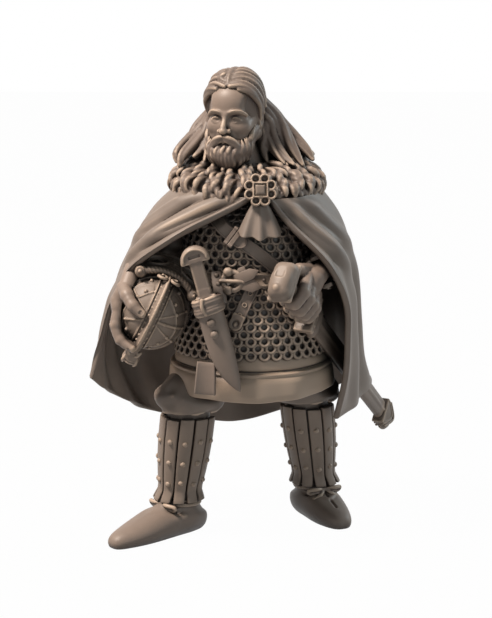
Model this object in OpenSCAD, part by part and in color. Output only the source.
// Multi-part resin miniature of an early medieval war leader, 32 mm scale (soles to eyes).
// Millimetres. +Z is up, the figure faces -Y, and its own right hand is at -X.
// The origin is on the ground under the middle of the figure.

/* [Heights] */
// Height of the knees, where the greaves start
knee_z = 9.8; // [9:0.1:10.6]
// Height of the lower edge of the mail shirt
mail_z = 14.4; // [13.8:0.1:15]
// Height of the waist belt
belt_z = 20.1; // [19.4:0.1:20.8]
// Height of the shoulders
shoulder_z = 24.6; // [24.2:0.1:25]
// Height of the top of the neck stump
neck_z = 28.2; // [27.8:0.1:28.6]
// Height of the middle of the skull
skull_z = 31.9; // [31.6:0.1:32.3]

/* [Body] */
// Half width of the body at the mail's lower edge
hip_half_w = 5.5; // [5:0.1:5.8]
// Half depth of the body at the mail's lower edge
hip_half_d = 4.65; // [4.2:0.1:4.9]
// Half width of the waist
waist_half_w = 4.5; // [4.1:0.1:4.8]
// Half width of the chest
chest_half_w = 4.9; // [4.5:0.1:5.1]
// Half depth of the chest
chest_half_d = 4.1; // [3.7:0.1:4.3]
// Radius of the neck stump
neck_r = 1.5; // [1.3:0.1:1.7]
// Gap left between pieces that lie on each other
fit = 0.06; // [0.03:0.01:0.12]

/* [Tunic] */
// Length of the tunic skirt below the mail
skirt_drop = 2.6; // [2:0.1:3.2]
// How far the skirt's border stands out from the body
border_flare = 0.55; // [0.3:0.05:0.8]
// Thickness of the skirt
skirt_t = 0.5; // [0.35:0.05:0.7]

/* [Cloak] */
// Thickness of the cloak
cloak_t = 0.5; // [0.35:0.05:0.6]
// Height of the deepest folds in the cloak
fold_depth = 0.42; // [0:0.02:0.45]

/* [Fur collar] */
// Half width of the collar ring, to the middle of the fur
collar_half_w = 4.6; // [4.4:0.1:4.9]
// Half depth of the collar ring
collar_half_d = 3.9; // [3.7:0.1:4.1]
// Number of tufts in a row
tuft_n = 18; // [16:1:26]
// Length of a tuft
tuft_len = 1.5; // [1.2:0.1:1.8]

/* [Legs] */
// Right foot, below the ankle
right_foot = [-5.1, -1.3];
// Left foot, below the ankle
left_foot = [5.4, 3.0];
// Height of the ankles, where the greaves end
ankle_z = 2.8; // [2.5:0.1:3.1]
// Radius of the calf at the knee
calf_r = 1.62; // [1.4:0.02:1.7]
// Radius of the calf above the ankle
ankle_r = 1.12; // [0.95:0.02:1.2]
// Radius of the trousers where they blouse over the greaves
blouse_r = 2.2; // [2.1:0.05:2.4]
// Number of splints in a greave
splint_n = 7; // [5:1:7]
// Thickness of a splint
splint_t = 0.3; // [0.2:0.02:0.4]
// Radius of the rivets
rivet_r = 0.2; // [0.14:0.01:0.24]

/* [Shoes] */
// Length of the right shoe
right_shoe_len = 8.2; // [7.8:0.1:9.2]
// Length of the left shoe
left_shoe_len = 6.3; // [6:0.1:7.2]
// Half width of the shoes
shoe_half_w = 1.42; // [1.3:0.02:1.55]

/* [Knife] */
// Length of the knife's scabbard
scabbard_len = 7.0; // [6:0.1:7.6]
// Half width of the knife's scabbard at its mouth
scabbard_half_w = 0.9; // [0.8:0.02:1.0]
// Length of the knife's grip
knife_grip_len = 2.9; // [2.5:0.1:3.2]
// Radius of the knife's grip
knife_grip_r = 0.55; // [0.45:0.01:0.65]

/* [Sword] */
// Length of the sword's scabbard
sword_scabbard_len = 16.4; // [15.4:0.1:17]
// Half width of the sword's scabbard
sword_half_w = 0.92; // [0.75:0.01:1]
// Length of the sword's grip
sword_grip_len = 4.0; // [3.7:0.1:4.3]
// Radius of the sword's grip
sword_grip_r = 0.5; // [0.4:0.01:0.6]

/* [Helmet] */
// Radius of the helmet's bowl
helmet_r = 2.5; // [2.3:0.05:2.6]
// Thickness of the crest strip
crest_t = 0.34; // [0.25:0.02:0.45]

/* [Jewellery] */
// Radius of the cloak brooch
brooch_r = 1.2; // [1.05:0.05:1.35]
// Half width of the square stone in the brooch
stone_half_w = 0.42; // [0.34:0.02:0.5]

/* [Hidden] */

resin = [0.55, 0.49, 0.43];
resin_pale = [0.66, 0.58, 0.5];
resin_dark = [0.42, 0.38, 0.35];

mid = [0.35, -0.65];            // the body's own axis, seen from above
peg_r = 0.75;                   // locating pegs under the head and at the shoulders
peg_len = 1.2;
tuft_rise = 0.25;               // how far hair and beard stay above the collar's core
body_half_w = max(hip_half_w, chest_half_w + 0.6);   // what the arms and the cloak stay clear of

// ---------- curves and skins ----------
function mix(a, b, t) = a + (b - a) * t;
function sum(list) = len(list) == 0 ? 0 : list * [for (x = list) 1];
function clamp01(t) = min(1, max(0, t));
function unit(v) = v / norm(v);
function sgn_pow(v, p) = sign(v) * pow(abs(v), p);

// Catmull-Rom through the rows of a table, t from 0 to 1
function spline(p, t) =
    let (n = len(p) - 1, s = clamp01(t) * n, i = min(n - 1, floor(s)), f = s - i,
         a = p[max(0, i - 1)], b = p[i], c = p[i + 1], d = p[min(n, i + 2)])
    0.5 * (2 * b + (c - a) * f + (2 * a - 5 * b + 4 * c - d) * f * f
        + (3 * b - a - 3 * c + d) * f * f * f);

// Rows start with a height, and the row at height z is worked out between them
function row_at(rows, z, i = 0) =
    (i >= len(rows) - 2 || z <= rows[i + 1][0])
        ? mix(rows[i], rows[i + 1],
            clamp01((z - rows[i][0]) / (rows[i + 1][0] - rows[i][0])))
        : row_at(rows, z, i + 1);

// A closed skin over rings with the same number of points, flat at both ends
module skin(rings) {
    n = len(rings[0]);
    m = len(rings);
    points = [for (r = rings) each r];
    side = [for (i = [0 : m - 2], j = [0 : n - 1])
        let (a = i * n + j, b = i * n + (j + 1) % n)
        each [[a, b, b + n], [a, b + n, a + n]]];
    start = [for (j = [1 : n - 2]) [0, j + 1, j]];
    end = [for (j = [1 : n - 2]) [(m - 1) * n, (m - 1) * n + j, (m - 1) * n + j + 1]];
    polyhedron(points, concat(side, start, end));
}

// A closed band: four-sided rings joined end to end round a loop
module loop_skin(rings) {
    n = len(rings[0]);
    m = len(rings);
    points = [for (r = rings) each r];
    faces = [for (i = [0 : m - 1], j = [0 : n - 1])
        let (a = i * n + j, b = i * n + (j + 1) % n,
             c = ((i + 1) % m) * n + j, d = ((i + 1) % m) * n + (j + 1) % n)
        each [[a, b, d], [a, d, c]]];
    polyhedron(points, faces);
}

// Puts +Z along the line from a to b, with its foot at a
module along(a, b, roll = 0) {
    v = b - a;
    translate(a)
        rotate([0, acos(v[2] / norm(v)), atan2(v[1], v[0])])
            rotate([0, 0, roll])
                children();
}

module blob(p, r, facets = 12) {
    translate(p) scale(r) sphere(1, $fn = facets);
}

// A chain of rounded limbs through points with their radii
module limb(p, r, facets = 12) {
    for (i = [0 : len(p) - 2])
        hull() {
            translate(p[i]) sphere(r[i], $fn = facets);
            translate(p[i + 1]) sphere(r[i + 1], $fn = facets);
        }
}

// A low round rivet whose flat back lies on the face z = 0
module rivet(r) {
    rotate_extrude($fn = 24)
        intersection() {
            circle(r, $fn = 24);
            square([r, r]);
        }
}

// ---------- body ----------
// height, half width, half depth
body_rows = [
    [mail_z, hip_half_w, hip_half_d],
    [mix(mail_z, belt_z, 0.35), hip_half_w - 0.15, hip_half_d + 0.1],
    [mix(mail_z, belt_z, 0.75), mix(hip_half_w, waist_half_w, 0.7), hip_half_d - 0.15],
    [belt_z, waist_half_w, chest_half_d + 0.15],
    [mix(belt_z, shoulder_z, 0.45), chest_half_w - 0.1, chest_half_d + 0.2],
    [mix(belt_z, shoulder_z, 0.85), chest_half_w, chest_half_d],
    [mix(shoulder_z, neck_z, 0.3), chest_half_w - 1.1, chest_half_d - 1.2],
    [mix(shoulder_z, neck_z, 0.5), neck_r + 0.7, neck_r + 0.4],
    [mix(shoulder_z, neck_z, 0.7), neck_r, neck_r],
    [neck_z, neck_r, neck_r]];

// A point on the body at angle a (0 faces the viewer, 90 is the figure's left), standing off by gap
function body_point(a, z, gap = 0) =
    let (row = row_at(body_rows, z))
    [mid[0] + (row[1] + gap) * sgn_pow(sin(a), 0.92),
     mid[1] - (row[2] + gap) * sgn_pow(cos(a), 0.92), z];

function body_ring(z, gap, n) = [for (j = [0 : n - 1]) body_point(-360 * j / n, z, gap)];

module body_form(gap = 0, n = 28, steps = 13) {
    levels = [for (i = [0 : steps]) mix(mail_z, neck_z, i / steps)];
    skin([for (z = levels) body_ring(z, gap, n)]);
}

shoulder_l = [mid[0] + chest_half_w - 0.2, 0, shoulder_z - 0.7];
shoulder_r = [mid[0] - chest_half_w + 0.2, 0, shoulder_z - 0.7];

module torso() {
    color(resin)
        difference() {
            body_form();
            translate([mid[0], mid[1], neck_z - peg_len])
                cylinder(r = peg_r, h = peg_len + 1, $fn = 32);
            for (s = [shoulder_l, shoulder_r])
                translate(s) rotate([0, 90, 0])
                    cylinder(r = peg_r, h = 2 * peg_len, center = true, $fn = 32);
        }
}

// The skirt hangs in two tiers: the tunic's own hem and a wider border under it
skirt_rows = [
    [mail_z - skirt_drop, hip_half_w + border_flare + 0.1, hip_half_d + border_flare + 0.2],
    [mail_z - 0.42 * skirt_drop, hip_half_w + border_flare, hip_half_d + border_flare],
    [mail_z - 0.37 * skirt_drop, hip_half_w + 0.1, hip_half_d + 0.1],
    [mail_z - fit, hip_half_w - 0.1, hip_half_d - 0.1]];

function skirt_point(a, z, inward) =
    let (row = row_at(skirt_rows, z),
         low = 1 - clamp01((z - mail_z + skirt_drop) / skirt_drop),
         droop = 0.45 * low * cos(a))
    [mid[0] + (row[1] - inward) * sin(a), mid[1] - (row[2] - inward) * cos(a), z - droop];

module tunic_skirt() {
    zs = [for (row = skirt_rows) row[0]];
    color(resin)
        loop_skin([for (j = [0 : 31])
            let (a = 11.25 * j)
            concat([for (z = zs) skirt_point(a, z, 0)],
                   [for (i = [len(zs) - 1 : -1 : 0]) skirt_point(a, zs[i], skirt_t)])]);
}

// ---------- legs ----------
right_knee = [-4.3, -2.4, knee_z];
left_knee = [4.65, 0.9, knee_z];
right_ankle = [right_foot[0], right_foot[1], ankle_z];
left_ankle = [left_foot[0], left_foot[1], ankle_z];
seat_r = hip_half_d - skirt_t - 0.55;

module trouser_leg(side, knee) {
    hip = [mid[0] + side * 2.4, mid[1], mail_z - 1.6];
    blouse = knee + [0, 0, 0.95];
    hull() {
        translate(hip) sphere(2.2, $fn = 12);
        translate(blouse) sphere(blouse_r, $fn = 12);
    }
    blob(blouse, [blouse_r + 0.1, blouse_r, 1.15]);
    hull() {
        blob(knee + [0, 0.4, 0.5], [blouse_r - 0.25, blouse_r - 0.2, 0.7]);
        blob(blouse + [0, 0.3, 0], [blouse_r - 0.1, blouse_r, 0.9]);
    }
}

module trousers() {
    color(resin)
        intersection() {
            union() {
                trouser_leg(-1, right_knee);
                trouser_leg(1, left_knee);
                hull()
                    for (s = [-1, 1])
                        translate([mid[0] + s * 1.6, mid[1], mail_z - 1.4])
                            sphere(seat_r - 0.5, $fn = 12);
                for (s = [-1, 1], i = [0 : 1])
                    hull() {
                        blob([mid[0] + s * (2 + i), mid[1] + 0.3, mail_z - 1], [2.1, 2.9, 1.2]);
                        blob([mid[0] + s * 2, mid[1], mail_z - 2.6], [2.2, 2.7, 1.2]);
                    }
            }
            translate([-12, -12, knee_z + fit]) cube([24, 24, mail_z - knee_z - 2 * fit]);
        }
}

function calf_radius(t) = mix(ankle_r, calf_r, sin(90 * clamp01(1.25 * t)));

module calf(knee, ankle) {
    color(resin)
        skin([for (i = [0 : 6])
            let (t = i / 6, c = mix(ankle, knee, t), r = calf_radius(t))
            [for (j = [0 : 14]) c + [r * cos(24 * j), 0.15 * sin(180 * t) - r * 1.06 * sin(24 * j), 0]]]);
}

module right_calf() calf(right_knee, right_ankle);
module left_calf() calf(left_knee, left_ankle);

// The splints stand round the front and sides of the calf
splint_step = 33;
splint_gap = 0.15;

function splint_turn(facing, i) = facing + (i - (splint_n - 1) / 2) * splint_step;

module on_splint(knee, ankle, turn, t) {
    c = mix(ankle, knee, t);
    gap = calf_radius(t) + splint_gap + splint_t;
    translate(c + [gap * sin(turn), -gap * cos(turn), 0]) rotate([90, 0, turn]) children();
}

// One flat splint of a greave, from the ankle up, bent outwards at its foot
module splint(knee, ankle, turn) {
    heights = [-0.02, 0.1, 0.45, 0.92];
    flares = [0.38, 0.05, 0, 0];
    rings = [for (i = [0 : 3])
        let (t = heights[i], c = mix(ankle, knee, t), r = calf_radius(t) + splint_gap + flares[i],
             half = 0.235 * (calf_radius(max(t, 0.1)) + 0.5),
             out = [sin(turn), -cos(turn), 0], across = [cos(turn), sin(turn), 0])
        [c + out * r - across * half, c + out * r + across * half,
         c + out * (r + splint_t) + across * half, c + out * (r + splint_t) - across * half]];
    skin(rings);
}

rivet_heights = [0.2, 0.44, 0.68];
right_facing = -32;
left_facing = 14;

module greave_splints(knee, ankle, facing) {
    color(resin_pale)
        for (i = [0 : splint_n - 1])
            splint(knee, ankle, splint_turn(facing, i));
}

module greave_rivets(knee, ankle, facing) {
    color(resin_pale)
        for (i = [0 : splint_n - 1], t = rivet_heights)
            on_splint(knee, ankle, splint_turn(facing, i), t) rivet(rivet_r);
}

module right_greave_splints() greave_splints(right_knee, right_ankle, right_facing);
module left_greave_splints() greave_splints(left_knee, left_ankle, left_facing);
module right_greave_rivets() greave_rivets(right_knee, right_ankle, right_facing);
module left_greave_rivets() greave_rivets(left_knee, left_ankle, left_facing);

// A shoe: rings from heel to toe, flat under the sole, with an ankle collar
right_toe_dir = -47;
left_toe_dir = 26;
heel_back = 1.55;

// share of the length, half width, height of the top
shoe_rows = [
    [0, 0.6, 1.2], [0.06, 0.88, 2.0], [0.18, 1, 2.6], [0.32, 1, 2.5], [0.45, 0.98, 1.95],
    [0.6, 0.95, 1.5], [0.75, 0.82, 1.15], [0.9, 0.56, 0.85], [1, 0.25, 0.5]];

function shoe_ring(row, length) =
    let (y = heel_back - row[0] * length, w = row[1] * shoe_half_w, h = row[2])
    [[-w * 0.8, y, 0], [-w, y, 0.3 * h], [-w * 0.93, y, 0.55 * h], [-w * 0.6, y, 0.86 * h],
     [0, y, h], [w * 0.6, y, 0.86 * h], [w * 0.93, y, 0.55 * h], [w, y, 0.3 * h],
     [w * 0.8, y, 0]];

module shoe_form(length) {
    skin([for (row = shoe_rows) shoe_ring(row, length)]);
}

module shoe(foot, turn, length) {
    color(resin_pale)
        translate([foot[0], foot[1], 0]) rotate(turn)
            union() {
                shoe_form(length);
                cylinder(r = ankle_r + 0.12, h = ankle_z - fit, $fn = 24);
            }
}

module right_shoe() shoe(right_foot, right_toe_dir, right_shoe_len);
module left_shoe() shoe(left_foot, left_toe_dir, left_shoe_len);

// The bow that ties a shoe: a cord round the ankle, a knot and two loops
tie_r = 0.16;

module shoe_tie(foot, turn) {
    ring_r = ankle_r + 0.12 + tie_r + fit;
    z = ankle_z - 0.42;
    color(resin_pale)
        translate([foot[0], foot[1], 0]) rotate(turn)
            union() {
                translate([0, 0, z]) rotate_extrude($fn = 24)
                    translate([ring_r, 0]) circle(tie_r, $fn = 6);
                for (s = [-1, 1])
                    limb([[0, -ring_r - 0.25, z], [s * 0.8, -ring_r - 0.5, z + 0.02],
                          [s * 1.3, -ring_r - 0.1, z - 0.12], [s * 0.2, -ring_r - 0.15, z + 0.1]],
                         [0.2, 0.24, 0.18, 0.18], 5);
            }
}

module right_shoe_tie() shoe_tie(right_foot, right_toe_dir);
module left_shoe_tie() shoe_tie(left_foot, left_toe_dir);

// ---------- head ----------
skull = [-0.75, -0.9, skull_z];
head_turn = -20;
skull_size = [1.98, 2.35, 2.4];

module in_head() {
    translate(skull) rotate(head_turn) children();
}

module head_form(gap = 0) {
    hull() {
        blob([0, 0.1, 0.2], skull_size + [gap, gap, gap], facets = 16);
        blob([0, -0.6, -1.6], [1.6 + gap, 1.5 + gap, 1.5 + gap], facets = 14);
    }
    hull() {
        blob([0, -0.9, 0.3], [1.55 + gap, 1.4 + gap, 1.7 + gap]);
        blob([0, -1.0, -1.3], [1.3 + gap, 1.35 + gap, 1.3 + gap]);
    }
}

module nose_form(gap = 0) {
    hull() {
        blob([0, -2.2, -0.25], [0.22, 0.22, 0.2], facets = 8);
        blob([0, -2.62, -1.35], [0.38 + gap, 0.4 + gap, 0.26 + gap], facets = 8);
    }
}

module neck_peg() {
    translate([mid[0], mid[1], neck_z - peg_len + fit])
        cylinder(r = peg_r - fit, h = peg_len + 1.6, $fn = 24);
}

module head() {
    color(resin_pale)
        union() {
            difference() {
                in_head() {
                    head_form();
                    nose_form();
                    for (s = [-1, 1]) {
                        // brow
                        hull() {
                            blob([s * 0.3, -2.1, 0.08], [0.3, 0.26, 0.16], facets = 8);
                            blob([s * 1.2, -1.75, 0.06], [0.3, 0.26, 0.16], facets = 8);
                        }
                        // closed eye
                        blob([s * 0.78, -1.97, -0.38], [0.38, 0.26, 0.2], facets = 8);
                        // cheek
                        hull() {
                            blob([s * 0.85, -1.78, -1.0], [0.5, 0.36, 0.36], facets = 8);
                            blob([s * 1.35, -1.1, -0.8], [0.4, 0.4, 0.4], facets = 8);
                        }
                        // ear
                        hull() {
                            blob([s * 1.97, 0.1, -0.3], [0.2, 0.4, 0.5], facets = 8);
                            blob([s * 1.88, 0, -1.0], [0.16, 0.25, 0.3], facets = 8);
                        }
                    }
                }
                translate([mid[0] - 4, mid[1] - 4, neck_z - 2.3]) cube([8, 8, 2.3 + fit]);
            }
            neck_peg();
        }
}

// The beard wraps the jaw; the moustache droops over it
module beard_mass(gap = 0) {
    hull() {
        blob([0, -1.3, -2.5], [1.75 + gap, 1.45 + gap, 1.15 + gap], facets = 16);
        blob([0, -1.5, -3.1], [1.15 + gap, 1.05 + gap, 0.85 + gap], facets = 12);
    }
    for (s = [-1, 1])
        hull() {
            blob([s * 1.35, -0.9, -1.9], [0.62 + gap, 0.9 + gap, 1.1 + gap], facets = 10);
            blob([s * 1.75, -0.1, -0.9], [0.35 + gap, 0.4 + gap, 0.6 + gap], facets = 8);
        }
}

module beard() {
    color(resin_pale)
        difference() {
            in_head()
                union() {
                    beard_mass();
                    for (s = [-1, 1]) {
                        hull() {
                            blob([s * 0.25, -2.6, -1.82], [0.42, 0.3, 0.22], facets = 8);
                            blob([s * 1.0, -2.35, -2.25], [0.3, 0.3, 0.26], facets = 8);
                        }
                        hull() {
                            blob([s * 1.0, -2.35, -2.25], [0.3, 0.3, 0.26], facets = 8);
                            blob([s * 1.35, -2.1, -2.8], [0.14, 0.14, 0.16], facets = 8);
                        }
                    }
                    hull() {
                        blob([0, -2.5, -2.8], [0.6, 0.3, 0.3], facets = 8);
                        blob([0, -2.2, -3.4], [0.5, 0.4, 0.4], facets = 8);
                    }
                }
            in_head() {
                head_form(fit);
                nose_form(fit);
            }
            translate([mid[0], mid[1], neck_z - 3]) cylinder(r = neck_r + 1.1, h = 3.02, $fn = 20);
            collar_form(tuft_rise);
        }
}

// Locks of hair, each through four points from the middle of the skull, with their radii
hair_locks = [
    [[-1.35, 1.7, 1.1], [-1.85, 1.9, -0.3], [-2.65, 1.2, -1.9], [-3.75, -0.3, -3.7], [0.6, 0.7, 0.7, 0.38]],
    [[-1.05, 0.7, 1.3], [-1.75, 0.9, -0.5], [-2.45, 0.1, -2.1], [-2.95, -1.2, -3.5], [0.4, 0.4, 0.42, 0.25]],
    [[-0.85, 2.7, 0.9], [-1.85, 3.3, -0.9], [-2.55, 3.5, -2.5], [-3.35, 3.5, -3.3], [0.8, 0.9, 0.9, 0.5]],
    [[1.35, -0.6, 1.8], [2.2, 0.2, 0.6], [2.7, 0.2, -1.1], [3.45, -0.9, -3], [0.5, 0.5, 0.5, 0.4]],
    [[1.45, 1.3, 1.6], [2.65, 1.5, 0.3], [3.35, 1.4, -1.5], [4.75, 0.2, -3.5], [0.8, 0.8, 0.8, 0.45]],
    [[1.35, 2.7, 1.2], [2.65, 3.1, -0.4], [3.65, 3.1, -2.1], [4.95, 2.5, -3.1], [0.9, 0.9, 0.9, 0.6]],
    [[-0.25, 2.9, 0.7], [-0.35, 3.4, -0.9], [-0.55, 3.9, -2.3], [-0.85, 4.2, -2.9], [0.9, 1.0, 0.95, 0.6]],
    [[1.05, 3, 0.7], [1.45, 3.5, -0.9], [1.95, 4, -2.3], [2.35, 4.3, -2.9], [0.9, 1.0, 0.95, 0.6]]];

module lock(l) {
    translate(skull) limb([l[0], l[1], l[2], l[3]], l[4], 7);
}

// Ridges of hair combed back from the parting: azimuth (0 faces forwards) and height on the scalp
scalp_mid = [0, 0.25, 0.4];
scalp_size = skull_size + [0.3, 0.25, 0.28];
hair_sweeps = [
    [[5, 50], [42, 54], [92, 12]], [[10, 74], [72, 66], [116, 20]], [[150, 84], [138, 56], [146, 18]],
    [[-8, 50], [-42, 52], [-88, 14]], [[-14, 74], [-72, 64], [-116, 20]], [[-160, 84], [-150, 56], [-156, 18]]];
sweep_r = [0.28, 0.36, 0.3];
sweep_out = 0.06;               // how far the middle of a ridge stands off the scalp

function scalp(place) =
    let (a = place[0], e = place[1], size = scalp_size + [sweep_out, sweep_out, sweep_out])
    scalp_mid + [size[0] * sin(a) * cos(e), -size[1] * cos(a) * cos(e), size[2] * sin(e)];

module hair() {
    color(resin)
        difference() {
            union() {
                in_head()
                    difference() {
                        union() {
                            hull() {
                                blob(scalp_mid, scalp_size, facets = 16);
                                blob([0, 0.9, -0.8], [1.9, 1.9, 1.6], facets = 10);
                            }
                            for (s = hair_sweeps) limb([for (p = s) scalp(p)], sweep_r, 5);
                        }
                        // the face stays clear
                        translate([-3, -6.4, -6]) cube([6, 6, 7.5]);
                        translate([-3, -8.0, -3]) cube([6, 6, 8]);
                    }
                hull() {
                    blob(skull + [0.25, 2.5, -0.7], [1.9, 1.4, 1.6]);
                    blob(skull + [0.75, 3.1, -2.3], [2.9, 1.5, 1.2]);
                }
                for (l = hair_locks) lock(l);
            }
            in_head() {
                head_form(fit);
                beard_mass(fit);
            }
            translate([mid[0], mid[1], neck_z - 3]) cylinder(r = neck_r + 0.2, h = 3.5, $fn = 24);
            collar_form(tuft_rise);
        }
}

// ---------- cloak ----------
// Stations from the neck to the hem. Each goes from the front edge at the figure's right,
// round the back, to the front edge at its left: edge, side, rear side, back, and the same back again.
cloak_net = [
    [[0.4, -5.3, 26.0], [-3.6, -3.7, 26.3], [-4.9, 0.0, 26.4], [0.3, 3.9, 27.1],
        [5.3, 0.2, 26.2], [4.2, -3.7, 26.0], [1.6, -5.3, 25.9]],
    [[-2.0, -5.7, 24.8], [-5.5, -3.5, 24.7], [-6.4, 0.6, 24.8], [0.2, 5.2, 25.5],
        [6.5, 0.8, 24.4], [5.5, -3.4, 24.2], [3.2, -5.8, 24.0]],
    [[-5.3, -5.8, 23.1], [-7.6, -3.4, 22.8], [-7.2, 1.6, 22.8], [0.2, 5.8, 23.0],
        [7.0, 1.8, 22.4], [7.0, -2.8, 22.2], [5.8, -5.8, 21.3]],
    [[-8.3, -4.6, 20.8], [-9.1, -2.2, 20.1], [-8.1, 2.6, 19.7], [0.2, 6.0, 19.6],
        [7.4, 2.8, 19.4], [7.8, -1.4, 19.2], [7.2, -5.0, 18.4]],
    [[-9.9, -2.6, 17.9], [-10.2, -0.6, 17.0], [-8.9, 3.4, 16.4], [0.2, 6.2, 15.8],
        [7.7, 3.6, 15.9], [8.1, -0.4, 15.9], [7.4, -4.2, 15.4]],
    [[-10.9, -1.2, 14.7], [-10.8, 0.6, 13.7], [-8.7, 4.5, 12.2], [0.3, 6.9, 11.0],
        [8.1, 5.6, 12.5], [8.4, 0.8, 12.5], [7.3, -3.2, 12.3]],
    [[-11.9, -0.2, 11.7], [-10.1, 1.9, 9.8], [-6.6, 5.4, 7.5], [0.5, 7.6, 6.45],
        [9.4, 7.2, 10.1], [8.6, 1.6, 9.4], [6.7, -2.2, 9.0]]];

cloak_cols = 40;
cloak_rows = 11;

// The net is drawn for these shoulders and this width, and it follows them when they change
net_shoulder_z = 24.6;
net_half_w = 5.5;

function cloak_mid(u, v) =
    let (p = spline([for (row = cloak_net) spline(row, u)], v))
    p + [(body_half_w - net_half_w) * max(-1, min(1, p[0] / net_half_w)), 0,
         (shoulder_z - net_shoulder_z) * (1 - v)];

function cloak_normal(u, v) =
    let (d = 0.01,
         a = cloak_mid(min(1, u + d), v) - cloak_mid(max(0, u - d), v),
         b = cloak_mid(u, min(1, v + d)) - cloak_mid(u, max(0, v - d)))
    unit(cross(a, b));

// Folds: place across the cloak at the start and at the end, half width, share of the height
// (below 0 for a groove), and how far down they start and end. Those near the front edges fan out
// from the brooch, and the others hang from the shoulders.
cloak_folds = [
    [0.035, 0.085, 0.022, -0.9, 0.0, 0.42], [0.07, 0.135, 0.03, 0.75, 0.0, 0.5],
    [0.11, 0.19, 0.028, -0.7, 0.02, 0.42], [0.155, 0.23, 0.03, 0.5, 0.0, 0.4],
    [0.965, 0.92, 0.022, -0.8, 0.0, 0.42], [0.93, 0.87, 0.028, 0.65, 0.0, 0.48],
    [0.89, 0.81, 0.028, -0.65, 0.02, 0.42], [0.84, 0.76, 0.03, 0.5, 0.0, 0.4],
    [0.1, 0.09, 0.035, -0.4, 0.6, 1.05], [0.16, 0.16, 0.035, 0.6, 0.5, 1.05],
    [0.22, 0.22, 0.03, -0.8, 0.45, 1.05], [0.28, 0.28, 0.032, 0.9, 0.35, 1.05],
    [0.34, 0.34, 0.03, -1, 0.25, 1.05], [0.4, 0.4, 0.032, 1, 0.25, 1.05],
    [0.46, 0.46, 0.03, -1, 0.2, 1.05], [0.52, 0.52, 0.032, 1, 0.25, 1.05],
    [0.58, 0.58, 0.03, -1, 0.2, 1.05], [0.64, 0.64, 0.032, 0.95, 0.25, 1.05],
    [0.7, 0.7, 0.03, -0.9, 0.25, 1.05], [0.76, 0.765, 0.03, 0.8, 0.3, 1.05],
    [0.815, 0.82, 0.028, -0.7, 0.35, 1.05], [0.87, 0.875, 0.026, 0.5, 0.4, 1.05],
    [0.93, 0.93, 0.022, -0.3, 0.3, 1.0]];

function rise(a, b, x) = let (t = max(0, min(1, (x - a) / (b - a)))) t * t * (3 - 2 * t);

function cloak_fold(u, v) =
    fold_depth * sum([for (f = cloak_folds)
        let (start = f[4], end = f[5], t = max(0, min(1, (v - start) / (end - start))),
             x = (u - mix(f[0], f[1], t)) / f[2], reach = end - start)
        f[3] * rise(start, start + 0.25 * reach, v) * (1 - rise(end - 0.2 * reach, end, v))
            * exp(-x * x)]);

function cloak_point(u, v, off) = cloak_mid(u, v) + (off + cloak_fold(u, v)) * cloak_normal(u, v);

module cloak_form(inner, outer) {
    m = cloak_cols;
    n = cloak_rows;
    outside = [for (j = [0 : n], i = [0 : m]) cloak_point(i / m, j / n, outer)];
    inside = [for (j = [0 : n], i = [0 : m]) cloak_point(i / m, j / n, inner)];
    k = len(outside);
    w = m + 1;
    faces = concat(
        [for (j = [0 : n - 1], i = [0 : m - 1])
            let (a = j * w + i)
            each [[a, a + w + 1, a + 1], [a, a + w, a + w + 1],
                  [k + a, k + a + 1, k + a + w + 1], [k + a, k + a + w + 1, k + a + w]]],
        [for (i = [0 : m - 1])
            let (b = n * w + i)
            each [[i, i + 1, k + i + 1], [i, k + i + 1, k + i],
                  [b, k + b + 1, b + 1], [b, k + b, k + b + 1]]],
        [for (j = [0 : n - 1])
            let (a = j * w, b = j * w + m)
            each [[a, k + a, k + a + w], [a, k + a + w, a + w],
                  [b, k + b + w, k + b], [b, b + w, k + b + w]]]);
    polyhedron(concat(outside, inside), faces);
}

module cloak() {
    color(resin) cloak_form(-cloak_t / 2, cloak_t / 2);
}

// ---------- fur collar ----------
collar_tilt = 13;
collar_mid = [0.1, -0.3, shoulder_z + 2.6];

function collar_point(a, out, up) =
    [collar_mid[0] + (collar_half_w + out) * sin(a),
     collar_mid[1] - (collar_half_d + out) * cos(a),
     collar_mid[2] + up - sin(collar_tilt) * collar_half_d * cos(a) * 0.55];

module tuft(a, out, up, fall, size) {
    hull() {
        translate(collar_point(a, out - 0.5, up)) sphere(size, $fn = 5);
        translate(collar_point(a + 3, out + 0.45, up - fall)) sphere(size * 0.42, $fn = 4);
    }
}

module collar_form(gap = 0) {
    rings = 28;
    loop_skin([for (j = [0 : rings - 1])
        let (a = 360 * j / rings)
        [collar_point(a, 0.95 + gap, -0.6 - gap), collar_point(a, 0.5 + gap, 0.35 + gap),
         collar_point(a, -0.4, 1.25 + gap), collar_point(a, -1.3 - gap, 0.8 + gap),
         collar_point(a, -1.5 - gap, -0.1), collar_point(a, -0.6, -0.55 - gap)]]);
}

module fur_collar() {
    color(resin)
        union() {
            collar_form();
            for (i = [0 : tuft_n - 1]) {
                a = 360 * i / tuft_n;
                tuft(a, 0.75, 0.15, tuft_len, 0.5);
                tuft(a + 180 / tuft_n, 0.1, 0.95, tuft_len * 0.8, 0.5);
            }
        }
}

// ---------- brooch and pleats ----------
brooch_at = [1.0, mid[1] - chest_half_d - 1.0, collar_mid[2] - 0.5];
brooch_t = 0.4;

module in_brooch() {
    translate(brooch_at) rotate([78, 0, 4]) children();
}

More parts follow.
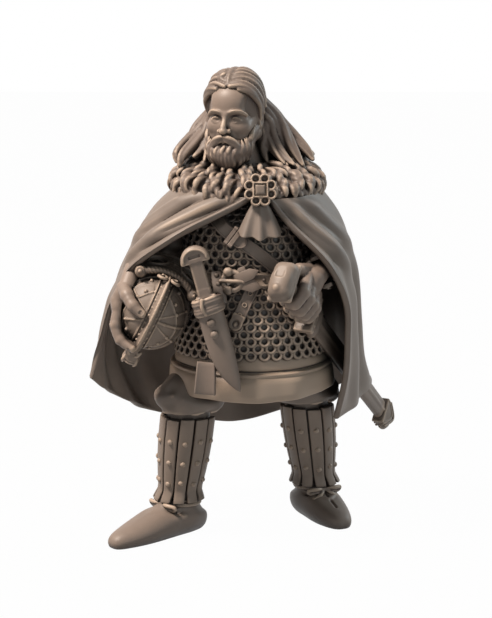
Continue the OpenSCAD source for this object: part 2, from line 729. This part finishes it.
module brooch() {
    color(resin_pale)
        in_brooch()
            difference() {
                union() {
                    cylinder(r = brooch_r - 0.25, h = brooch_t, $fn = 40);
                    for (i = [0 : 7])
                        rotate(22.5 + 45 * i) translate([brooch_r - 0.38, 0, 0])
                            cylinder(r = 0.38, h = brooch_t, $fn = 24);
                }
                for (i = [0 : 7])
                    rotate(22.5 + 45 * i) translate([brooch_r - 0.38, 0, brooch_t - 0.25])
                        cylinder(r = 0.2, h = 1, $fn = 24);
                translate([-stone_half_w, -stone_half_w, brooch_t - 0.2])
                    cube([2 * stone_half_w, 2 * stone_half_w, 1]);
            }
}

module brooch_stone() {
    side = 2 * (stone_half_w - fit);
    color(resin_pale)
        in_brooch()
            translate([-side / 2, -side / 2, brooch_t - 0.2])
                cube([side, side, 0.42]);
}

// Pleated cloth that fans out below the brooch
module throat_pleats() {
    top = brooch_at + [0, 0.1, -0.85];
    fan_h = 2.2;
    color(resin_pale)
        skin([for (i = [0 : 5])
            let (t = i / 5, half = mix(0.42, 1.4, pow(t, 0.85)), thick = mix(0.3, 0.75, t))
            [for (j = [0 : 27])
                let (a = 360 * j / 28, flute = 1 + 0.22 * t * cos(7 * a))
                top + [half * sin(a), -0.25 * t - thick * flute * cos(a) + 0.2,
                       -fan_h * t - 0.2 * t * cos(a) - 0.2 * t * (1 - abs(sin(a)))]]]);
}

// ---------- straps and belt ----------
// A strap that lies on the body: points are [angle, height]
module body_strap(points, width, thick, lift = 0) {
    p = [for (q = points) body_point(q[0], q[1], fit + lift)];
    n = [for (q = points) unit(body_point(q[0], q[1], 1) - body_point(q[0], q[1], 0))];
    last = len(p) - 1;
    rings = [for (i = [0 : last])
        let (dir = unit(p[min(last, i + 1)] - p[max(0, i - 1)]), side = unit(cross(dir, n[i])))
        [p[i] - side * width / 2, p[i] + side * width / 2,
         p[i] + side * width / 2 + n[i] * thick, p[i] - side * width / 2 + n[i] * thick]];
    skin(rings);
}

strap_w = 1.0;
strap_t = 0.25;
strap_from = [-38, 25.2];
strap_to = [20, belt_z + 0.85];

function strap_path(a, b, n) = [for (i = [0 : n]) mix(strap_from, strap_to, mix(a, b, i / n))];

module shoulder_strap() {
    color(resin_pale) {
        body_strap(strap_path(0, 1, 10), strap_w, strap_t);
        body_strap(strap_path(0.12, 0.62, 6), strap_w, strap_t, strap_t + fit);
    }
}

module strap_keeper() {
    color(resin_pale)
        body_strap(strap_path(0.42, 0.5, 2), strap_w + 0.5, 0.3, 2 * (strap_t + fit));
}

belt_half_h = 0.5;
belt_t = 0.28;

module waist_belt() {
    color(resin_pale)
        loop_skin([for (j = [0 : 35])
            let (a = 10 * j)
            [body_point(a, belt_z - belt_half_h, fit), body_point(a, belt_z - belt_half_h, fit + belt_t),
             body_point(a, belt_z + belt_half_h, fit + belt_t), body_point(a, belt_z + belt_half_h, fit)]]);
}

buckle_angle = -13;

module on_belt(a, lift = 0) {
    p = body_point(a, belt_z, fit + belt_t + lift);
    turn = atan2(p[0] - mid[0], mid[1] - p[1]);
    translate(p) rotate([90, 0, turn]) children();
}

module belt_buckle() {
    lean = body_point(buckle_angle, belt_z)[1] - body_point(buckle_angle, belt_z - belt_half_h)[1];
    color(resin_pale)
        on_belt(buckle_angle, fit + max(0, lean))
            union() {
                difference() {
                    cylinder(r = 0.85, h = 0.28, $fn = 32);
                    translate([0, 0, -1]) cylinder(r = 0.5, h = 3, $fn = 32);
                }
                translate([-0.85, -0.12, 0.14]) cube([1.7, 0.24, 0.26]);
                for (s = [-1, 1])
                    translate([-0.25, s * 0.62, 0.14]) cylinder(r = 0.3, h = 0.4, $fn = 24);
            }
}

module belt_tongue() {
    color(resin_pale)
        body_strap([[1, belt_z - 0.62], [-4, belt_z - 1.5], [-9, belt_z - 2.6], [-12, belt_z - 3.4]],
            0.9, 0.24);
}

// A flat tab that hangs from the mail's edge in front of the skirt
module hem_tab() {
    tab_w = 1.35;
    front = mid[1] - hip_half_d - border_flare - 0.5;
    color(resin_pale)
        translate([-2.85, front, mail_z]) rotate([0, 3, -8])
            skin([for (i = [0 : 1])
                let (w = tab_w / 2 + 0.12 * i, z = mix(-0.1, -2.5, i))
                [[-w, 0.2, z], [-w, -0.12, z], [w, -0.12, z], [w, 0.2, z]]]);
}

// ---------- knife ----------
knife_mouth = [-2.8, mid[1] - hip_half_d - 1.45, belt_z - 1.15];
knife_dir = unit([1.88, 0.0, -6.7]);
knife_end = knife_mouth + knife_dir * scabbard_len;
knife_top = knife_mouth - knife_dir * knife_grip_len;
pommel_half_t = 0.5;

// x is the width, y the thickness
function oval(w, t, z, n = 16) = [for (j = [0 : n - 1]) [w * cos(-360 * j / n), t * sin(-360 * j / n), z]];

module knife_scabbard() {
    w = scabbard_half_w;
    color(resin_pale)
        along(knife_mouth, knife_end)
            skin([oval(w, 0.5, 0), oval(w * 0.96, 0.48, 0.3 * scabbard_len),
                  oval(w * 0.9, 0.44, 0.6 * scabbard_len), oval(w * 0.68, 0.38, 0.88 * scabbard_len),
                  oval(w * 0.45, 0.3, 0.97 * scabbard_len), oval(w * 0.2, 0.2, scabbard_len)]);
}

module knife_rivets() {
    color(resin_pale)
        for (t = [0.16, 0.31])
            translate(knife_mouth + knife_dir * scabbard_len * t + [0, -0.49 - fit, 0])
                rotate([90, 0, 0]) rivet(rivet_r * 1.3);
}

// Two rolled bindings round the scabbard's mouth
binding_r = 0.2;
module knife_bindings() {
    color(resin_pale)
        along(knife_mouth, knife_end)
            for (z = [0.32, 0.98])
                loop_skin([for (j = [0 : 15])
                    let (a = 22.5 * j, w = scabbard_half_w + fit, t = 0.5 + fit)
                    [for (k = [0 : 5])
                        [(w + binding_r - binding_r * cos(60 * k)) * cos(a),
                         (t + binding_r - binding_r * cos(60 * k)) * sin(a), z - 0.3 * sin(60 * k)]]]);
}

module knife_handle() {
    color(resin_pale)
        along(knife_mouth, knife_top)
            union() {
                skin([oval(0.75, 0.5, fit), oval(knife_grip_r, knife_grip_r * 0.9, 0.3),
                      oval(knife_grip_r, knife_grip_r * 0.9, 0.7 * knife_grip_len),
                      oval(knife_grip_r * 1.15, knife_grip_r * 0.9, knife_grip_len + 0.1)]);
                translate([0, 0, knife_grip_len])
                    rotate([90, 0, 180])
                        difference() {
                            translate([0, 0, -pommel_half_t]) linear_extrude(2 * pommel_half_t)
                                intersection() {
                                    circle(1.08, $fn = 40);
                                    translate([-2, 0]) square([4, 2]);
                                }
                            translate([-0.45, 0.36, pommel_half_t - 0.15]) cube([0.9, 0.16, 1]);
                        }
            }
}

// The strap that carries the knife from the belt
module knife_hanger() {
    p = body_point(-30, belt_z, fit + belt_t);
    top = [p[0], p[1] - fit - 0.02, belt_z + belt_half_h + 0.1];
    low = [-1.72, knife_mouth[1] + 1.03, knife_mouth[2] - 0.4];
    color(resin_pale)
        skin([for (q = [top, mix(top, low, 0.5), low])
            [q + [-0.36, 0, 0], q + [-0.36, -0.24, 0], q + [0.36, -0.24, 0], q + [0.36, 0, 0]]]);
}

// ---------- arms ----------
right_elbow = [-7.3, 1.2, shoulder_z - 4.4];
right_wrist = [-8.0, -3.5, 20.7];
left_elbow = [body_half_w + 0.7, 1.4, shoulder_z - 4.0];
left_wrist = [body_half_w, mid[1] - hip_half_d + 0.7, 20.7];

module sleeve(shoulder, elbow, wrist) {
    out = sign(shoulder[0] - mid[0]);
    color(resin)
        union() {
            difference() {
                union() {
                    limb([shoulder + [out * 0.3, 0, -0.3], mix(shoulder, elbow, 0.5), elbow,
                          mix(elbow, wrist, 0.4), mix(elbow, wrist, 0.75), wrist],
                         [1.1, 1.12, 1.1, 1.05, 0.9, 0.72], 8);
                    hull() {
                        translate(elbow + [0, -0.2, -0.2]) sphere(1.15, $fn = 8);
                        translate(mix(elbow, wrist, 0.45) + [0, 0, -0.3]) sphere(1.0, $fn = 8);
                    }
                    hull() {
                        translate(mix(shoulder, elbow, 0.3)) sphere(1.15, $fn = 8);
                        translate(mix(shoulder, elbow, 0.7)) sphere(1.15, $fn = 8);
                    }
                    hull() {
                        translate(mix(elbow, wrist, 0.2)) sphere(1.12, $fn = 8);
                        translate(mix(elbow, wrist, 0.5)) sphere(1.05, $fn = 8);
                    }
                }
                body_form(fit, 24, 12);
            }
            translate(shoulder) rotate([0, 90, 0])
                translate([0, 0, out > 0 ? -peg_len + fit : -1])
                    cylinder(r = peg_r - fit, h = peg_len + 1 - fit, $fn = 24);
        }
}

module right_arm() sleeve(shoulder_r, right_elbow, right_wrist);
module left_arm() sleeve(shoulder_l, left_elbow, left_wrist);

// Splints round the outer side of a forearm
module vambrace(elbow, wrist, roll) {
    length = norm(wrist - elbow);
    color(resin_pale)
        along(elbow, wrist, roll)
            for (i = [-2 : 2])
                rotate(i * 44)
                    translate([1.12 + fit, -0.36, 0.5 * length])
                        rotate([0, -5, 0]) {
                            cube([0.26, 0.72, 0.47 * length]);
                            for (z = [0.25, 0.75])
                                translate([0.26, 0.36, z * 0.47 * length])
                                    rotate([0, 90, 0]) rivet(rivet_r * 0.85);
                        }
}

module right_vambrace() vambrace(right_elbow, right_wrist, 180);
module left_vambrace() vambrace(left_elbow, left_wrist, 0);

// ---------- helmet ----------
// The helmet's own frame: +Z through the crown, +X towards its face opening
helmet_mid = [-6.85, -3.9, 17.6];
helmet_crown = [0.02, -0.97, -0.05];
helmet_roll = 154;
dome_long = helmet_r * 1.1;

module in_helmet() {
    along(helmet_mid, helmet_mid + helmet_crown, helmet_roll) children();
}

// A point over the bowl: a is measured round the rim from the face, b is up from the rim
function dome_point(a, b, gap = 0) =
    [(dome_long + gap) * cos(a) * cos(b), (helmet_r + gap) * sin(a) * cos(b), (helmet_r + gap) * sin(b)];

function dome_ring(b, gap) = [for (j = [0 : 27]) dome_point(-360 * j / 28, b, gap)];

module helmet_bowl() {
    color(resin_pale)
        in_helmet()
            skin([for (b = [0, 12, 26, 40, 54, 68, 82]) dome_ring(b, 0)]);
}

// A flat strap that follows the bowl along a path of [angle, rise] pairs
module dome_strap(path, width, thick) {
    last = len(path) - 1;
    p = [for (q = path) dome_point(q[0], q[1], fit)];
    rings = [for (i = [0 : last])
        let (dir = unit(p[min(last, i + 1)] - p[max(0, i - 1)]), out = unit(p[i]),
             side = unit(cross(dir, out)))
        [p[i] - side * width / 2, p[i] + side * width / 2,
         p[i] + side * width / 2 + out * thick, p[i] - side * width / 2 + out * thick]];
    skin(rings);
}

rib_w = 0.26;
rib_t = 0.14;
rim_t = 0.2;
rim_top = 10;

// Ribs over the bowl on both sides of the crest, and a rim round it
module helmet_ribs() {
    color(resin_pale)
        in_helmet() {
            for (s = [-1, 1])
                dome_strap([for (i = [0 : 8]) [s * (40 + 12.5 * i), rim_top + 5 + 38 * sin(22.5 * i)]],
                    rib_w, rib_t);
            loop_skin([for (j = [0 : 35])
                let (a = 10 * j)
                [dome_point(a, 2, fit), dome_point(a, 2, fit + rim_t),
                 dome_point(a, rim_top, fit + rim_t), dome_point(a, rim_top, fit)]]);
        }
}

// The crest runs over the bowl and ends in a beast's head past the rim at the back
module helmet_crest() {
    high = 0.55;
    rings = [for (i = [0 : 12])
        let (b = mix(22, 158, i / 12), out = [cos(b), 0, sin(b)],
             base = [dome_long * cos(b), 0, helmet_r * sin(b)],
             top = high * (0.75 + 0.25 * sin(b)))
        [base + out * fit + [0, -crest_t, 0], base + out * fit + [0, crest_t, 0], base + out * (fit + top)]];
    color(resin_pale)
        in_helmet()
            union() {
                skin(rings);
                translate([-dome_long - 0.35, 0, 1.0])
                    rotate([0, 62, 0])
                        skin([oval(0.45, 0.42, -1.3), oval(0.62, 0.6, -0.7), oval(0.6, 0.58, -0.1),
                              oval(0.42, 0.42, 0.5), oval(0.3, 0.3, 1.0)]);
            }
}

// Brow: a rolled rope over the face opening between two round ends
module helmet_brow() {
    rope_r = 0.26;
    lobe_r = 0.46;
    half_arc = 40;
    reach = dome_long + rim_t + 2 * fit + rope_r;
    color(resin_pale)
        in_helmet()
            translate([0, 0, 0.75])
                union() {
                    rotate(-half_arc) rotate_extrude(angle = 2 * half_arc, $fn = 64)
                        translate([reach, 0]) circle(rope_r, $fn = 24);
                    for (s = [-1, 1])
                        rotate(s * half_arc) translate([reach, 0, 0]) sphere(lobe_r, $fn = 32);
                }
}

// The face guard below the brow, with its eye openings cut through
module helmet_guard() {
    guard_h = 1.5;
    color(resin_pale)
        in_helmet()
            difference() {
                skin([for (i = [0 : 8])
                    let (a = mix(-48, 48, i / 8), near = dome_long + rim_t + 2 * fit, far = near + 0.75)
                    [[near * cos(a), near * sin(a), 0.35], [far * cos(a), far * sin(a), 0.35 - guard_h],
                     [(far + 0.28) * cos(a), (far + 0.28) * sin(a), 0.35 - guard_h],
                     [(near + 0.28) * cos(a), (near + 0.28) * sin(a), 0.35]]]);
                for (s = [-1, 1])
                    rotate(s * 20) translate([0, 0, -0.25]) rotate([0, 90, 0])
                        scale([0.3, 0.55, 1]) cylinder(r = 1, h = 6, $fn = 20);
            }
}

// ---------- hands ----------
// The right hand holds the helmet from outside, fingers under it and thumb over it
module right_hand() {
    palm = [-9.2, -4.7, 18.4];
    color(resin_pale)
        difference() {
            union() {
                limb([right_wrist + [-0.2, -0.4, -0.2], [-8.7, -4.9, 19.4], palm, [-9.1, -4.4, 17.3]],
                     [0.68, 0.66, 0.72, 0.62]);
                for (i = [0 : 3])
                    limb([[-9.3, -5.1 + 0.5 * i, 17.9], [-9.3 + 0.05 * i, -5.4 + 0.55 * i, 16.6],
                          [-9.0 + 0.1 * i, -5.7 + 0.6 * i, 15.7], [-8.3 + 0.1 * i, -6.1 + 0.6 * i, 15.3]],
                         [0.46, 0.42, 0.38, 0.32], 8);
                limb([[-8.8, -5.0, 19.2], [-8.3, -6.2, 18.9], [-7.5, -6.75, 18.2]], [0.55, 0.44, 0.36], 8);
            }
            in_helmet() bowl_space(0.24);
        }
}

// The room the helmet takes up, rim and all
module bowl_space(gap) {
    skin(concat([dome_ring(-8, gap)], [for (b = [2, 20, 40, 60, 80]) dome_ring(b, gap)]));
}

// ---------- sword ----------
// The left fist holds the hilt in front of the hip, so the sword starts from the wrist
pommel_at = left_wrist + [-2.9, -3.75, -0.1];
chape_end = left_wrist + [6.25, 13.2, -14.7];
sword_dir = unit(chape_end - pommel_at);
guard_at = pommel_at + sword_dir * (sword_grip_len + 1.1);

module in_sword(p) {
    along(p, p + sword_dir) children();
}

module sword_grip(gap = 0) {
    in_sword(pommel_at)
        cylinder(r = sword_grip_r + gap, h = sword_grip_len + 1.1, $fn = 24);
}

module sword_hilt() {
    color(resin_pale)
        union() {
            sword_grip();
            in_sword(pommel_at) {
                difference() {
                    skin([oval(0.95, 0.55, -0.7), oval(1.35, 0.88, -0.55), oval(1.5, 1.02, -0.1),
                          oval(1.45, 0.98, 0.5), oval(1.1, 0.8, 0.75)]);
                    translate([-0.85, -0.35, -1]) cube([0.95, 0.7, 0.5]);
                }
                translate([0.6, 0, -0.62]) sphere(0.28, $fn = 24);
            }
            in_sword(guard_at)
                skin([oval(1.2, 0.6, -0.4), oval(1.45, 0.75, -0.2), oval(1.45, 0.75, 0.15),
                      oval(1.2, 0.62, 0.35)]);
        }
}

module sword_scabbard() {
    w = sword_half_w;
    color(resin)
        in_sword(guard_at + sword_dir * (0.35 + fit))
            skin([oval(w * 1.3, 0.5, 0), oval(w * 1.3, 0.5, 0.9), oval(w, 0.4, 1.1),
                  oval(w * 0.96, 0.38, 0.6 * sword_scabbard_len), oval(w * 0.85, 0.34, sword_scabbard_len)]);
}

module sword_chape() {
    start = guard_at + sword_dir * (0.35 + 2 * fit + sword_scabbard_len);
    w = sword_half_w;
    color(resin)
        in_sword(start)
            skin([oval(w * 1.05, 0.46, 0), oval(w * 1.25, 0.52, 0.9), oval(w * 1.15, 0.5, 1.6),
                  oval(w * 0.7, 0.36, 2.15)]);
}

// The left hand grips the hilt, fingers curled round it and thumb along the top
module left_hand() {
    color(resin_pale)
        difference() {
            translate(left_wrist) union() {
                limb([[-0.1, -0.4, -0.1], [-0.6, -1, -0.4], [-1, -1.3, -1.3]],
                     [0.7, 0.85, 0.8]);
                limb([[-1.1, -1.6, -0.2], [-1.45, -2.7, -1.25], [-2.05, -3, -1.95], [-2.75, -2.8, -1.8]],
                     [0.46, 0.45, 0.4, 0.35], 8);
                limb([[-0.75, -1.2, -0.6], [-1.05, -2.2, -1.75], [-1.65, -2.45, -2.55], [-2.45, -2.3, -2.4]],
                     [0.46, 0.45, 0.4, 0.35], 8);
                limb([[-0.55, -0.8, -1.1], [-0.7, -1.6, -2.2], [-1.3, -1.9, -2.95], [-2.1, -1.8, -2.85]],
                     [0.45, 0.43, 0.38, 0.33], 8);
                limb([[-0.4, -0.5, -1.6], [-0.5, -1.1, -2.5], [-1, -1.35, -3.2], [-1.7, -1.3, -3.2]],
                     [0.42, 0.4, 0.35, 0.3], 8);
                limb([[-1.2, -1.1, 0.2], [-2, -1.9, 0.2], [-2.7, -2.1, -0.2]], [0.52, 0.43, 0.36], 8);
            }
            sword_grip(fit);
            in_sword(pommel_at)
                skin([oval(1.6, 1.15, -0.8), oval(1.6, 1.15, 0.6), oval(1.2, 0.9, 0.85)]);
            in_sword(guard_at)
                skin([oval(1.3, 0.7, -0.5), oval(1.6, 0.85, -0.2), oval(1.6, 0.85, 1.6)]);
            body_form(fit + 0.3, 24, 12);
        }
}

torso();
tunic_skirt();
trousers();
right_calf();
left_calf();
right_greave_splints();
left_greave_splints();
right_greave_rivets();
left_greave_rivets();
right_shoe();
left_shoe();
right_shoe_tie();
left_shoe_tie();
head();
beard();
hair();
fur_collar();
cloak();
brooch();
brooch_stone();
throat_pleats();
shoulder_strap();
strap_keeper();
waist_belt();
belt_buckle();
belt_tongue();
hem_tab();
knife_scabbard();
knife_rivets();
knife_bindings();
knife_handle();
knife_hanger();
right_arm();
right_vambrace();
right_hand();
helmet_bowl();
helmet_ribs();
helmet_crest();
helmet_brow();
helmet_guard();
left_arm();
left_vambrace();
left_hand();
sword_hilt();
sword_scabbard();
sword_chape();
